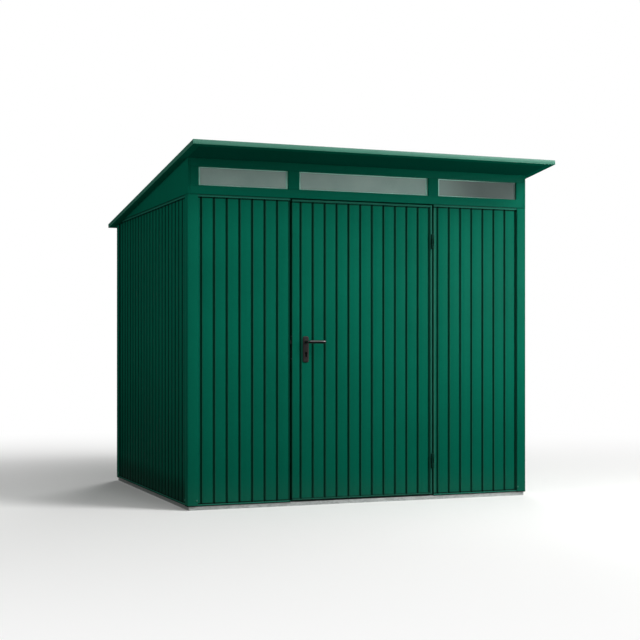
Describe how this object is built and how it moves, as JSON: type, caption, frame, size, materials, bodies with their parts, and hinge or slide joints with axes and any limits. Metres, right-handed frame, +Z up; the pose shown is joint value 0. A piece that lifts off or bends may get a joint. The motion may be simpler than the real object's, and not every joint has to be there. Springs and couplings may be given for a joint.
{
  "type": "metal storage shed",
  "caption": "Green metal storage shed with a pent roof, ribbed walls, a row of fixed windows over the front, and a hinged door with a lever handle, on a galvanised base frame.",
  "frame": {"origin": "on the ground, under the middle of the roof's outline", "axes": "+Z up, the front with the door faces -Y, +X to the right seen from the front"},
  "size_m": [2.486, 2.377, 2.2534],
  "materials": {
    "green_paint": "satin powder coat",
    "galvanised_base": "galvanised",
    "window_glass": "clear",
    "hinge_steel": "dark satin",
    "black_handle": "satin",
    "lock_steel": "plated"
  },
  "bodies": {
    "shed": {"base_rail_front": "galvanised_base", "base_rail_back": "galvanised_base", "base_rail_left": "galvanised_base", "base_rail_right": "galvanised_base", "sill_channels": "green_paint", "corner_post_front_left": "green_paint", "corner_post_front_right": "green_paint", "corner_post_back_left": "green_paint", "corner_post_back_right": "green_paint", "front_wall_left": "green_paint", "front_wall_right": "green_paint", "left_wall": "green_paint", "right_wall": "green_paint", "back_wall": "green_paint", "head_channels": "green_paint", "door_post_left": "green_paint", "door_post_right": "green_paint", "window_rail_low": "green_paint", "window_rail_top": "green_paint", "window_mullion_left": "green_paint", "window_mullion_right": "green_paint", "window_end_stiles": "green_paint", "left_gable": "green_paint", "right_gable": "green_paint", "roof_purlin": "green_paint", "roof_sheet": "green_paint", "front_soffit": "green_paint", "roof_trim_front": "green_paint", "roof_trim_back": "green_paint", "roof_trim_left": "green_paint", "roof_trim_right": "green_paint", "window_left": "window_glass", "window_middle": "window_glass", "window_right": "window_glass", "hinge_frame_halves": "hinge_steel"},
    "door": {"door_sheet": "green_paint", "door_top_rail": "green_paint", "door_bottom_rail": "green_paint", "door_hinge_stile": "green_paint", "door_latch_stile": "green_paint", "hinge_door_halves": "hinge_steel", "lock_case": "lock_steel", "handle_plates": "black_handle", "lock_cylinder": "lock_steel"},
    "handle": {"door_handle": "black_handle"}
  },
  "joints": [
    {"name": "door_hinge", "type": "hinge", "parent": "shed", "child": "door", "pos_m": [0.483, -0.8875, 0.985], "axis": [0, 0, 1], "range_deg": [0, 110]},
    {"name": "handle_turn", "type": "hinge", "parent": "door", "child": "handle", "pos_m": [-0.4105, -0.8605, 1.046], "axis": [0, 1, 0], "range_deg": [0, 40], "stiffness_Nm_per_rad": 1, "springref_deg": -17.19}
  ]
}
